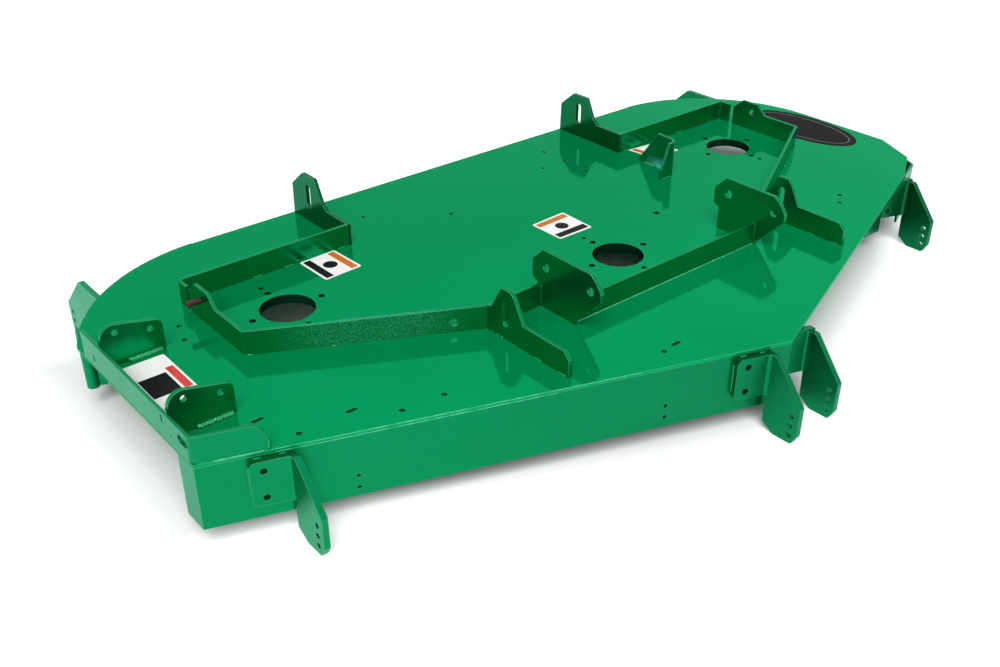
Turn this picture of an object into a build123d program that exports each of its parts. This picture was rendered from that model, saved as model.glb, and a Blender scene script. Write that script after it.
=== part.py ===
from build123d import *
import os
from math import acos, asin, atan2, cos, degrees, hypot, radians, sin, tan

os.makedirs("parts", exist_ok=True)

# Driving dimensions in mm. Origin: centre spindle axis on the top face of the deck plate.
# +X is the machine's left, +Y its rear, +Z up. Side -1 is the right half, side +1 the left half.

# Sheet and plate
sheet = 5.0
wall = 4.5
strip = 5.0
plate = 6.4
thick = 9.5
strip_height = 38.0
skirt_depth = 102.0

# Spindles
spindle_x = 508.0
spindle_y = 194.0
bore_radius = 42.5
bolt_circle = 119.0
bolt_radius = 5.25
grease_hole_offset = 80.0
grease_hole_radius = 4.0
spindle_pad_side = 190.0
spindle_pad_thick = 10.0
spindle_pad_corner = 20.0
blade_overlap = 31.1

# Sides of the small service holes, drawn as polygons to keep the facets low
small_hole_sides = 12

# Outline of the deck
rear_edge = 487.0
seam_offset = 12.0
seam_step = 2.0
right_round = 307.0
right_end_cut = 20.0
left_round = 274.0
nose_clearance = 49.5
front_angle = 19.85
left_end_front = 17.0
corner_inset = 54.0
corner_cut_inset = 132.0
corner_cut_share = 0.8

# Walls under the deck
front_return = 42.0
band_end_angle = 149.0
band_return = 18.0
band_roll_radius = 9.5
baffle_tail = 95.0
wall_hole_pitch = 19.0
wall_hole_radius = 3.0
wall_hole_places = {-605.0: -79.0, -187.0: -76.0}

# Discharge end
rail_height = 40.0
rail_rear = 259.0
rail_front_length = 87.0
rail_corner = 24.0
rail_bend = 12.0
rail_slot = (-46.0, 25.0)
rail_slot_length = 26.0
rail_slot_width = 13.0
rail_holes = {222.0: 14.0, 10.0: 29.5}
rail_hole_length = 12.0
rail_hole_width = 5.0
rail_small_hole = (-13.0, 15.0)
rail_small_radius = 2.5
ear_width = 90.0
ear_gap = 2.0
ear_low = 47.0
ear_high = 68.5
ear_outer_corner = 20.0
ear_inner_corner = 11.0
ear_hole_radius = 4.5
ear_faces = {"chute_ear_rear": 206.0, "chute_ear_front": 1.0}
ear_hole_outer = (22.0, 51.0)
ear_hole_inner = (71.5, 39.0)

# Lift hangers: lengths run forward from the back edge, heights stand on the deck
hanger_rounding = 4.0
rear_hanger_x = 318.5
rear_hanger_back = 483.0
rear_hanger_top = 86.0
rear_hanger_shoulder = 57.0
rear_hanger_lean = 2.0
rear_hanger_rise = 37.0
rear_hanger_crown = 39.0
rear_hanger_fall = 18.0
rear_hanger_step = 12.0
rear_hanger_sweep = 15.0
rear_slot = (429.5, 48.0)
front_hanger_x = 311.5
front_hanger_back = -38.0
front_hanger_front = -217.0
front_hanger_top = 80.0
front_hanger_step = 3.0
front_hanger_sweep = 15.0
front_hanger_rise = 22.0
front_hanger_crown = 20.0
front_hanger_bevel = 8.0
front_hanger_fall = 19.0
front_hanger_toe = 11.0
front_slot = (-85.0, 42.0)
slot_length = 42.0
slot_width = 13.0

# Arm plates
arm_x = 207.0
arm_top = 95.0
arm_length = 133.5
arm_back_gap = 6.0
arm_overhang = 12.0
arm_overhang_rise = 7.0
arm_back_bevel = 22.0
arm_nose_run = 23.5
arm_nose_bend = 12.0
arm_nose_drop = 8.0
arm_nose_shoulder = 25.0
arm_nose_height = 12.0
arm_holes = [(-53.5, 68.0), (-148.0, 68.0)]
arm_hole_radius = 7.0

# Ribs on edge
rear_rib_y = 311.0
rib_end_offset = 113.0
rear_rib_turn = 24.0
bend_radius = 8.0
side_rib_back = 276.0
side_rib_bend_y = 118.0
link_y = -42.0
cross_rib_y = -112.5
rib_ear_top = 56.0
rib_ear_back = 274.0
rib_ear_front = 196.0
rib_ear_slope = 20.0
rib_hole_y = 229.0
rib_hole_z = 37.0
rib_hole_radius = 6.0
rib_pin_radius = 4.75
rib_pin_length = 22.0
rib_pin_y = 238.0
rib_pin_z = 36.0
diagonal_hole_share = 0.86
diagonal_hole_z = 16.0

# Roller brackets
front_bracket_drop = 9.0
flange_width = 49.0
flange_height = 69.0
flange_corner = 10.0
flange_hole_inset = 30.5
flange_hole_z = 15.0
flange_hole_pitch = 41.0
flange_hole_radius = 5.0
inside_bend = 6.0
arm_reach = 72.5
arm_depth = 127.0
arm_top_run = 21.5
arm_root_run = 10.0
arm_toe_run = 8.0
arm_toe_rise = 15.0
arm_heel_run = 40.0
arm_heel_rise = 14.0
arm_lower_run = 61.0
arm_rounding = 5.0
roller_hole_reach = 59.5
roller_hole_top = 80.0
roller_hole_pitch = 16.4
roller_hole_radius = 4.5
front_right_inset = 106.0
front_left_inset = 129.0
centre_right_x = 42.0
centre_left_x = 53.0
rear_bracket_offset = 204.0
rear_bracket_top = -2.5
rear_bracket_reach = 552.0
rear_bracket_depth = 132.5
rear_slope_run = 72.0
rear_root_run = 68.0
rear_root_height = 90.0
weld_gap = 0.3

# Bent tab
tab_x = 322.0
tab_front = 166.0
tab_length = 94.0
tab_top = 67.0
tab_top_length = 50.0
tab_tip_height = 18.0
tab_return = 43.0
tab_bend = 20.0
tab_slope_start = 24.5

# Service holes in the deck plate as x and y from a spindle, and radius
right_holes = [
    (-149.0, 55.0, 5.0),
    (-160.0, 15.0, 5.0),
    (-245.0, 172.0, 4.0),
    (-153.0, -285.0, 4.5),
    (-24.0, -327.0, 4.5),
    (41.0, -333.0, 4.5),
]
centre_holes = [
    (-241.0, 388.0, 4.0),
    (-114.0, 300.5, 4.0),
    (149.0, 349.5, 4.0),
    (-163.0, -253.0, 4.5),
]
left_holes = [
    (-26.0, -285.0, 5.0),
    (-54.0, -304.0, 5.0),
]
right_slots = [(-179.0, -226.0), (-74.5, -285.0)]
centre_slot = (-134.0, -249.0)
row_hole_x = 205.0
row_hole_y = 349.5
row_hole_pitch = 60.0
row_hole_radius = 4.0
deck_slot_length = 18.0
deck_slot_width = 7.0
square_hole = (168.5, 71.5)
square_hole_side = 11.0

# Sizes worked out from the ones above
slope = tan(radians(front_angle))
across = 1.0 / cos(radians(front_angle))
right_end = spindle_x + right_round - right_end_cut
left_end = spindle_x + left_round
seam_x = spindle_x + seam_offset
corner_x = left_end - corner_inset
corner_cut_x = left_end - corner_cut_inset
rail_front_x = right_end - rail_front_length
rib_end_x = spindle_x + rib_end_offset
rear_bracket_x = spindle_x + rear_bracket_offset
bracket_places = {
    "roller_bracket_front_right": -right_end + front_right_inset,
    "roller_bracket_centre_right": -centre_right_x,
    "roller_bracket_centre_left": centre_left_x,
    "roller_bracket_front_left": left_end - front_left_inset,
}
right_centre = (-spindle_x, rear_edge - right_round)
left_centre = (spindle_x, rear_edge - left_round)
right_spindle = (-spindle_x, spindle_y)
centre_spindle = (0.0, 0.0)
left_spindle = (spindle_x, spindle_y)
spindles = [right_spindle, centre_spindle, left_spindle]
grease_holes = [(x, y + grease_hole_offset) for x, y in spindles[:2]]
grease_holes.append((spindle_x, spindle_y - grease_hole_offset))
spindle_distance = hypot(spindle_x, spindle_y)
spindle_bearing = degrees(atan2(spindle_y, spindle_x))
baffle_radius = spindle_distance / 2 + blade_overlap
baffle_outer = baffle_radius + wall
apex_y = -baffle_radius - nose_clearance


def save(part, name):
    part.label = name
    export_step(part, f"parts/{name}.step")


def front_y(x):
    """Front edge of the deck at x: two straight edges that meet on the centre line."""
    return apex_y + slope * abs(x)


def on_circle(centre, radius, angle):
    return (centre[0] + radius * cos(radians(angle)), centre[1] + radius * sin(radians(angle)))


def mid_angle_point(centre, radius, first, last):
    return on_circle(centre, radius, (first + last) / 2)


def between(first, last, share):
    return (first[0] + share * (last[0] - first[0]), first[1] + share * (last[1] - first[1]))


def meet(first, second):
    """Crossing of two lines, each given by two points."""
    (ax, ay), (bx, by) = first
    (cx, cy), (dx, dy) = second
    turn = (bx - ax) * (dy - cy) - (by - ay) * (dx - cx)
    share = ((cx - ax) * (dy - cy) - (cy - ay) * (dx - cx)) / turn
    return between(first[0], first[1], share)


def shifted(line, distance):
    """The line moved to its left by distance."""
    (ax, ay), (bx, by) = line
    length = hypot(bx - ax, by - ay)
    dx = -(by - ay) / length * distance
    dy = (bx - ax) / length * distance
    return ((ax + dx, ay + dy), (bx + dx, by + dy))


def upright(x):
    """Plane across the machine at x: its first axis is +Y, its second +Z."""
    return Plane(origin=(x, 0, 0), x_dir=(0, 1, 0), z_dir=(1, 0, 0))


def facing_front(y):
    """Plane along the machine's width at y, facing -Y: its axes are +X and +Z."""
    return Plane(origin=(0, y, 0), x_dir=(1, 0, 0), z_dir=(0, -1, 0))


def front_face(x):
    """Plane on the outer face of the front right wall at x."""
    turn = radians(front_angle)
    return Plane(
        origin=(x, front_y(x), 0),
        x_dir=(cos(turn), -sin(turn), 0),
        z_dir=(-sin(turn), -cos(turn), 0),
    )


def level(z):
    return Plane.XY.offset(z)


# Deck plate with a thick pad welded under each spindle
right_start_angle = 90 + degrees(asin(seam_offset / right_round))
right_stop_angle = 180 - degrees(acos(1 - right_end_cut / right_round))
left_start_angle = degrees(acos(seam_offset / left_round))
corner = (corner_x, front_y(corner_x))
left_end_corner = (left_end, left_end_front)

with BuildPart() as deck_plate:
    with BuildSketch(level(-sheet)):
        with BuildLine():
            right_arc = ThreePointArc(
                on_circle(right_centre, right_round, right_start_angle),
                mid_angle_point(right_centre, right_round, right_start_angle, right_stop_angle),
                on_circle(right_centre, right_round, right_stop_angle),
            )
            left_arc = ThreePointArc(
                (left_end, left_centre[1]),
                mid_angle_point(left_centre, left_round, 0, left_start_angle),
                on_circle(left_centre, left_round, left_start_angle),
            )
            Polyline(
                right_arc @ 1,
                (-right_end, front_y(right_end)),
                (0, apex_y),
                (corner_cut_x, front_y(corner_cut_x)),
                between(left_end_corner, corner, corner_cut_share),
                left_end_corner,
                left_arc @ 0,
            )
            Polyline(
                left_arc @ 1,
                (seam_x, rear_edge - seam_step),
                (-seam_x, rear_edge - seam_step),
                right_arc @ 0,
            )
        make_face()
    extrude(amount=sheet)
    with BuildSketch(level(-sheet - spindle_pad_thick)) as pads:
        with Locations(*spindles):
            Rectangle(spindle_pad_side, spindle_pad_side)
        chamfer(pads.vertices(), spindle_pad_corner)
    extrude(amount=spindle_pad_thick)
    with BuildSketch():
        with Locations(*spindles):
            Circle(bore_radius)
            with PolarLocations(bolt_circle / 2, 4):
                Circle(bolt_radius)
        with Locations(*grease_holes):
            RegularPolygon(grease_hole_radius, small_hole_sides)
        for spindle, holes in zip(spindles, (right_holes, centre_holes, left_holes)):
            for x, y, radius in holes:
                with Locations((spindle[0] + x, spindle[1] + y)):
                    RegularPolygon(radius, small_hole_sides)
        with Locations((row_hole_x, row_hole_y)):
            with GridLocations(0, row_hole_pitch, 1, 3):
                RegularPolygon(row_hole_radius, small_hole_sides)
        with Locations(centre_slot, *[(right_spindle[0] + x, right_spindle[1] + y) for x, y in right_slots]):
            SlotOverall(deck_slot_length, deck_slot_width)
        with Locations(square_hole):
            Rectangle(square_hole_side, square_hole_side)
    extrude(amount=-sheet - spindle_pad_thick, mode=Mode.SUBTRACT)
save(deck_plate.part, "deck_plate")


def inner_front_y(x):
    """Inner face of a wall that stands under a front edge."""
    return front_y(x) + wall * across


# Walls under the deck
wall_height = skirt_depth - sheet

with BuildPart() as front_skirt:
    with BuildSketch(level(-skirt_depth)):
        with BuildLine():
            Polyline(
                (-right_end, front_y(right_end)),
                (0, apex_y),
                (0, inner_front_y(0)),
                (-right_end + wall, inner_front_y(right_end - wall)),
                (-right_end + wall, front_y(right_end) + front_return),
                (-right_end, front_y(right_end) + front_return),
                close=True,
            )
        make_face()
    extrude(amount=wall_height)
    for x, z in wall_hole_places.items():
        with BuildSketch(front_face(x)):
            with Locations((0, z)):
                with GridLocations(0, wall_hole_pitch, 1, 2):
                    RegularPolygon(wall_hole_radius, small_hole_sides)
        extrude(amount=-2 * wall, mode=Mode.SUBTRACT)
save(front_skirt.part, "front_skirt")

with BuildPart() as rear_skirt:
    with BuildSketch(level(-skirt_depth)):
        with Locations((0, rear_edge - seam_step - wall / 2)):
            Rectangle(2 * seam_x, wall)
    extrude(amount=wall_height)
save(rear_skirt.part, "rear_skirt")

right_inner = right_round - wall
right_inner_start = 90 + degrees(asin(seam_offset / right_inner))
return_angle = band_end_angle - degrees(wall / right_inner)

with BuildPart() as right_band:
    with BuildSketch(level(-skirt_depth)):
        with BuildLine():
            band_outer = ThreePointArc(
                on_circle(right_centre, right_round, right_start_angle),
                mid_angle_point(right_centre, right_round, right_start_angle, band_end_angle),
                on_circle(right_centre, right_round, band_end_angle),
            )
            band_inner = ThreePointArc(
                on_circle(right_centre, right_inner, return_angle),
                mid_angle_point(right_centre, right_inner, right_inner_start, return_angle),
                on_circle(right_centre, right_inner, right_inner_start),
            )
            Polyline(
                band_outer @ 1,
                on_circle(right_centre, right_inner - band_return, band_end_angle),
                on_circle(right_centre, right_inner - band_return, return_angle),
                band_inner @ 0,
            )
            Line(band_inner @ 1, band_outer @ 0)
        make_face()
        with Locations(on_circle(right_centre, right_round - wall / 2, band_end_angle)):
            Circle(band_roll_radius)
    extrude(amount=wall_height)
save(right_band.part, "right_band")

left_inner = left_round - wall
left_inner_start = degrees(acos(seam_offset / left_inner))
band_stop_x = bracket_places["roller_bracket_front_left"] + thick
chamfer_inner = shifted((corner, left_end_corner), wall)
end_inner = ((left_end - wall, 0), (left_end - wall, 1))
front_inner = ((band_stop_x, inner_front_y(band_stop_x)), (corner_x, inner_front_y(corner_x)))

with BuildPart() as left_band:
    with BuildSketch(level(-skirt_depth)):
        with BuildLine():
            end_outer = ThreePointArc(
                on_circle(left_centre, left_round, left_start_angle),
                mid_angle_point(left_centre, left_round, 0, left_start_angle),
                (left_end, left_centre[1]),
            )
            end_arc_inner = ThreePointArc(
                (left_end - wall, left_centre[1]),
                mid_angle_point(left_centre, left_inner, 0, left_inner_start),
                on_circle(left_centre, left_inner, left_inner_start),
            )
            Polyline(
                end_outer @ 1,
                left_end_corner,
                corner,
                (band_stop_x, front_y(band_stop_x)),
                front_inner[0],
                meet(chamfer_inner, front_inner),
                meet(chamfer_inner, end_inner),
                end_arc_inner @ 0,
            )
            Line(end_arc_inner @ 1, end_outer @ 0)
        make_face()
    extrude(amount=wall_height)
save(left_band.part, "left_band")

# Baffle round the blades, set back under the front left edge
def cusp_turn(radius):
    """Angle between the line of two spindles and the point where their circles cross."""
    return degrees(acos(spindle_distance / 2 / radius))


def baffle_foot_x(radius):
    """Where the baffle's straight end meets the front right wall."""
    return (radius + apex_y + wall * across) / slope


with BuildPart() as front_baffle:
    with BuildSketch(level(-skirt_depth)):
        with BuildLine():
            outer_cusp = on_circle(centre_spindle, baffle_outer, spindle_bearing - cusp_turn(baffle_outer))
            inner_cusp = on_circle(centre_spindle, baffle_radius, spindle_bearing - cusp_turn(baffle_radius))
            Polyline(
                (spindle_x, spindle_y - baffle_radius),
                (spindle_x + baffle_tail, spindle_y - baffle_radius),
                (spindle_x + baffle_tail, spindle_y - baffle_outer),
                (spindle_x, spindle_y - baffle_outer),
            )
            Polyline(
                (0, -baffle_outer),
                (baffle_foot_x(baffle_outer), -baffle_outer),
                (baffle_foot_x(baffle_radius), -baffle_radius),
                (0, -baffle_radius),
            )
            for radius, cusp in ((baffle_outer, outer_cusp), (baffle_radius, inner_cusp)):
                left_stop = 180 + spindle_bearing + cusp_turn(radius)
                ThreePointArc(
                    (spindle_x, spindle_y - radius),
                    mid_angle_point(left_spindle, radius, left_stop, 270),
                    cusp,
                )
                centre_start = spindle_bearing - cusp_turn(radius)
                ThreePointArc(
                    cusp,
                    mid_angle_point(centre_spindle, radius, centre_start, -90),
                    (0, -radius),
                )
        make_face()
    extrude(amount=wall_height)
save(front_baffle.part, "front_baffle")

# Discharge rail, bent round the front right corner
rail_end = (-rail_front_x, front_y(rail_front_x))
rail_end_inner = shifted(((-right_end, front_y(right_end)), rail_end), strip)[1]
rail_inner_x = -right_end + strip
rail_outer_bend = (-right_end, front_y(right_end))
rail_inner_bend = (rail_inner_x, front_y(rail_inner_x) + strip * across)

with BuildPart() as discharge_rail:
    with BuildSketch() as rail_sketch:
        with BuildLine():
            Polyline(
                (-right_end, rail_rear),
                rail_outer_bend,
                rail_end,
                rail_end_inner,
                rail_inner_bend,
                (rail_inner_x, rail_rear),
                close=True,
            )
        make_face()
        fillet(rail_sketch.vertices().sort_by_distance(rail_outer_bend)[0], rail_bend)
        fillet(rail_sketch.vertices().sort_by_distance(rail_inner_bend)[0], rail_bend - strip)
    extrude(amount=rail_height)
    rail_top_corner = (*between(rail_end, rail_end_inner, 0.5), rail_height)
    fillet(discharge_rail.edges().sort_by_distance(rail_top_corner)[0], rail_corner)
    with BuildSketch(upright(-right_end)):
        with Locations(rail_slot):
            SlotOverall(rail_slot_length, rail_slot_width)
        with Locations(*rail_holes.items()):
            Rectangle(rail_hole_width, rail_hole_length)
        with Locations(rail_small_hole):
            RegularPolygon(rail_small_radius, small_hole_sides)
    extrude(amount=strip, mode=Mode.SUBTRACT)
save(discharge_rail.part, "discharge_rail")

# Chute hinge ears beside the rail
ear_outer_x = rail_inner_x + ear_gap
ear_inner_x = ear_outer_x + ear_width

for name, face_y in ear_faces.items():
    with BuildPart() as chute_ear:
        with BuildSketch(facing_front(face_y + plate)) as ear_sketch:
            with BuildLine():
                Polyline(
                    (ear_outer_x, 0),
                    (ear_outer_x, ear_high),
                    (ear_inner_x, ear_low),
                    (ear_inner_x, 0),
                    close=True,
                )
            make_face()
            fillet(ear_sketch.vertices().group_by(Axis.Y)[-1], ear_outer_corner)
            fillet(ear_sketch.vertices().sort_by_distance((ear_inner_x, ear_low))[0], ear_inner_corner)
            with Locations(*[(ear_outer_x + x, z) for x, z in (ear_hole_outer, ear_hole_inner)]):
                Circle(ear_hole_radius, mode=Mode.SUBTRACT)
        extrude(amount=plate)
    save(chute_ear.part, name)


def slotted_plate(name, x, outline, slot_centre):
    """Upright plate along Y with one vertical slot."""
    with BuildPart() as hanger:
        with BuildSketch(upright(x - plate / 2)) as hanger_sketch:
            with BuildLine():
                Polyline(*outline, close=True)
            make_face()
            raised = [v for v in hanger_sketch.vertices() if v.Y > strip_height + hanger_rounding]
            fillet(raised, hanger_rounding)
            with Locations(slot_centre):
                SlotOverall(slot_length, slot_width, rotation=90, mode=Mode.SUBTRACT)
        extrude(amount=plate)
    save(hanger.part, name)


# Lift hangers
rear_crown_back = rear_hanger_back - rear_hanger_rise
rear_crown_front = rear_crown_back - rear_hanger_crown
rear_bend = rear_crown_front - rear_hanger_fall
rear_hanger_outline = [
    (rear_hanger_back, 0),
    (rear_hanger_back - rear_hanger_lean, rear_hanger_shoulder),
    (rear_crown_back, rear_hanger_top),
    (rear_crown_front, rear_hanger_top),
    (rear_bend, strip_height + rear_hanger_step),
    (rear_bend - rear_hanger_sweep, strip_height),
    (rear_rib_y, strip_height),
    (rear_rib_y, 0),
]
front_bend = front_hanger_back - front_hanger_sweep
front_crown_back = front_bend - front_hanger_rise
front_crown_front = front_crown_back - front_hanger_crown
front_crown_bevel = front_crown_front - front_hanger_bevel
front_hanger_outline = [
    (front_hanger_back, 0),
    (front_hanger_back, strip_height),
    (front_bend, strip_height + front_hanger_step),
    (front_crown_back, front_hanger_top),
    (front_crown_front, front_hanger_top),
    (front_crown_bevel, front_hanger_top - front_hanger_bevel),
    (front_crown_bevel - front_hanger_fall, strip_height),
    (front_hanger_front + front_hanger_toe, strip_height),
    (front_hanger_front, strip_height - front_hanger_toe),
    (front_hanger_front, 0),
]
for side, half in ((-1, "right"), (1, "left")):
    slotted_plate(f"rear_{half}_hanger", side * rear_hanger_x, rear_hanger_outline, rear_slot)
    slotted_plate(f"front_{half}_hanger", side * front_hanger_x, front_hanger_outline, front_slot)

# Arm plates
arm_back = link_y + arm_back_gap
arm_rear_tip = arm_back + arm_overhang
arm_nose = arm_back - arm_length
arm_outline = [
    (arm_back, 0),
    (arm_back, strip_height),
    (arm_rear_tip, strip_height + arm_overhang_rise),
    (arm_rear_tip, arm_top - arm_back_bevel),
    (arm_rear_tip - arm_back_bevel, arm_top),
    (arm_nose + arm_nose_run, arm_top),
    (arm_nose + arm_nose_bend, arm_top - arm_nose_drop),
    (arm_nose, arm_top - arm_nose_shoulder),
    (arm_nose, arm_top - arm_nose_shoulder - arm_nose_height),
    (cross_rib_y - strip / 2, 0),
]
for side, half in ((-1, "right"), (1, "left")):
    with BuildPart() as arm_plate:
        with BuildSketch(upright(side * arm_x - plate / 2)):
            with BuildLine():
                Polyline(*arm_outline, close=True)
            make_face()
            with Locations(*arm_holes):
                Circle(arm_hole_radius, mode=Mode.SUBTRACT)
        extrude(amount=plate)
    save(arm_plate.part, f"{half}_arm_plate")

# Ribs on edge
hanger_outer = front_hanger_x + plate / 2

for side, half in ((-1, "right"), (1, "left")):
    rib_outer = side * (rib_end_x + strip / 2)
    rib_inner = side * (rib_end_x - strip / 2)
    hanger_face = side * (rear_hanger_x + plate / 2)
    with BuildPart() as rear_rib:
        with BuildSketch() as rear_rib_sketch:
            with BuildLine():
                Polyline(
                    (hanger_face, rear_rib_y),
                    (hanger_face, rear_rib_y + strip),
                    (rib_outer, rear_rib_y + strip),
                    (rib_outer, rear_rib_y - rear_rib_turn),
                    (rib_inner, rear_rib_y - rear_rib_turn),
                    (rib_inner, rear_rib_y),
                    close=True,
                )
            make_face()
            bend = rear_rib_sketch.vertices()
            fillet(bend.sort_by_distance((rib_outer, rear_rib_y + strip))[0], bend_radius)
            bend = rear_rib_sketch.vertices()
            fillet(bend.sort_by_distance((rib_inner, rear_rib_y))[0], bend_radius - strip)
        extrude(amount=strip_height)
    save(rear_rib.part, f"{half}_rear_rib")

    end_line = ((side * rib_end_x, side_rib_back), (side * rib_end_x, side_rib_bend_y))
    diagonal = (end_line[1], (side * hanger_outer, link_y))
    stop_line = ((side * hanger_outer, 0), (side * hanger_outer, 1))
    near = [shifted(line, strip / 2) for line in (end_line, diagonal)]
    far = [shifted(line, -strip / 2) for line in (end_line, diagonal)]
    run = hypot(diagonal[1][0] - diagonal[0][0], diagonal[1][1] - diagonal[0][1])
    along = ((diagonal[1][0] - diagonal[0][0]) / run, (diagonal[1][1] - diagonal[0][1]) / run, 0)
    hole_foot = between(diagonal[0], diagonal[1], diagonal_hole_share)
    with BuildPart() as side_rib:
        with BuildSketch():
            with BuildLine():
                Polyline(
                    near[0][0],
                    meet(near[0], near[1]),
                    meet(near[1], stop_line),
                    meet(far[1], stop_line),
                    meet(far[0], far[1]),
                    far[0][0],
                    close=True,
                )
            make_face()
        extrude(amount=strip_height)
        with BuildSketch(upright(side * rib_end_x - strip / 2)):
            with BuildLine():
                Polyline(
                    (rib_ear_back, 0),
                    (rib_ear_back, strip_height),
                    (rib_ear_back - rib_ear_slope, rib_ear_top),
                    (rib_ear_front + rib_ear_slope, rib_ear_top),
                    (rib_ear_front, strip_height),
                    (rib_ear_front, 0),
                    close=True,
                )
            make_face()
        extrude(amount=strip)
        if side > 0:
            with BuildSketch(upright(rib_end_x - strip)):
                with Locations((rib_hole_y, rib_hole_z)):
                    RegularPolygon(rib_hole_radius, small_hole_sides)
            extrude(amount=2 * strip, mode=Mode.SUBTRACT)
        with BuildSketch(Plane(origin=(*hole_foot, 0), x_dir=along, z_dir=(along[1], -along[0], 0))):
            with Locations((0, diagonal_hole_z)):
                RegularPolygon(rib_hole_radius, small_hole_sides)
        extrude(amount=strip, both=True, mode=Mode.SUBTRACT)
    save(side_rib.part, f"{half}_side_rib")

    with BuildPart() as link_rib:
        with BuildSketch():
            link_start = front_hanger_x - plate / 2
            link_stop = arm_x + plate / 2
            with Locations((side * (link_start + link_stop) / 2, link_y)):
                Rectangle(link_start - link_stop, strip)
        extrude(amount=strip_height)
    save(link_rib.part, f"{half}_link_rib")

with BuildPart() as cross_rib:
    with BuildSketch():
        with Locations((0, cross_rib_y)):
            Rectangle(2 * arm_x - plate, strip)
    extrude(amount=strip_height)
save(cross_rib.part, "cross_rib")

with BuildPart() as rib_pin:
    with BuildSketch(upright(-rib_end_x - strip / 2)):
        with Locations((rib_pin_y, rib_pin_z)):
            Circle(rib_pin_radius)
    extrude(amount=-rib_pin_length)
save(rib_pin.part, "rib_pin")

def arm_tip(reach, depth):
    """Outline round the tip of a roller arm, from the end of its upper slope, as distance out and height."""
    return [
        (reach, -depth / 2),
        (reach, -depth + arm_toe_rise),
        (reach - arm_toe_run, -depth),
        (reach - arm_heel_run, -depth),
        (reach - arm_lower_run, -depth + arm_heel_rise),
    ]


# Roller brackets at the front: a flange along the front right edge's direction and an arm along Y
arm_profile = [
    (thick / 2, 0),
    (arm_top_run, 0),
    *arm_tip(arm_reach, arm_depth),
    (arm_root_run, -flange_height),
    (thick / 2, -flange_height),
]

for name, x in bracket_places.items():
    root_y = front_y(x)
    top = -front_bracket_drop
    flange_top = top if x < 0 else -sheet
    flange_bottom = top - flange_height
    turn = radians(front_angle)
    flange_end = (x - flange_width * cos(turn), root_y + flange_width * sin(turn))
    flange_root = (x + thick, root_y - thick * slope)
    face = shifted((flange_end, flange_root), -thick)
    with BuildPart() as roller_bracket:
        with BuildSketch(upright(x)) as arm_sketch:
            with BuildLine():
                Polyline(*[(root_y - reach, top + z) for reach, z in arm_profile], close=True)
            make_face()
            tips = [v for v in arm_sketch.vertices() if v.X < root_y - 2 * thick]
            fillet(tips, arm_rounding)
            with Locations((root_y - roller_hole_reach, top - roller_hole_top - roller_hole_pitch)):
                with GridLocations(0, roller_hole_pitch, 1, 3):
                    Circle(roller_hole_radius, mode=Mode.SUBTRACT)
        extrude(amount=thick)
        with BuildSketch(level(flange_bottom)):
            with BuildLine():
                Polyline(
                    flange_end,
                    flange_root,
                    meet(face, ((x + thick, 0), (x + thick, 1))),
                    face[0],
                    close=True,
                )
            make_face()
        extrude(amount=flange_top - flange_bottom)
        flange_edge = between(flange_end, face[0], 0.5)
        for corner_z in (flange_top, flange_bottom):
            fillet(roller_bracket.edges().sort_by_distance((*flange_edge, corner_z))[0], flange_corner)
        bend_edge = (*meet(face, ((x, 0), (x, 1))), top - flange_height / 2)
        fillet(roller_bracket.edges().sort_by_distance(bend_edge)[0], inside_bend)
        with BuildSketch(front_face(x)):
            with Locations((-flange_hole_inset, top - flange_hole_z - flange_hole_pitch / 2)):
                with GridLocations(0, flange_hole_pitch, 1, 2):
                    RegularPolygon(flange_hole_radius, small_hole_sides)
        extrude(amount=2 * thick, mode=Mode.SUBTRACT)
    save(roller_bracket.part, name)

# Longer roller arms at the rear, welded to the round ends
rear_arm_profile = [
    (rear_bracket_reach - rear_slope_run, 0),
    *arm_tip(rear_bracket_reach, rear_bracket_depth),
    (rear_bracket_reach - rear_root_run, -rear_root_height),
]
for side, half in ((-1, "right"), (1, "left")):
    centre, radius = (right_centre, right_round) if side < 0 else (left_centre, left_round)
    outline = [(y, rear_bracket_top + z) for y, z in rear_arm_profile]
    with BuildPart() as rear_bracket:
        with BuildSketch(upright(side * rear_bracket_x - thick / 2)) as arm_sketch:
            with BuildLine():
                Polyline((centre[1], rear_bracket_top), *outline,
                         (centre[1], outline[-1][1]), close=True)
            make_face()
            tips = [v for v in arm_sketch.vertices() if v.X > rear_bracket_reach - arm_reach]
            fillet(tips, arm_rounding)
            roller_y = rear_bracket_reach - arm_reach + roller_hole_reach
            with Locations((roller_y, rear_bracket_top - roller_hole_top - roller_hole_pitch)):
                with GridLocations(0, roller_hole_pitch, 1, 3):
                    Circle(roller_hole_radius, mode=Mode.SUBTRACT)
        extrude(amount=thick)
        with BuildSketch(level(-2 * skirt_depth)):
            with Locations(centre):
                Circle(radius + weld_gap)
        extrude(amount=2 * skirt_depth, mode=Mode.SUBTRACT)
    save(rear_bracket.part, f"roller_bracket_rear_{half}")

# Bent tab behind the left arm plate: one strip turned through a right angle, its two ends cut on a slope
tab_back = tab_front + tab_length
tab_outer = tab_x + strip / 2
tab_inner_bend = tab_bend - strip

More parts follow.
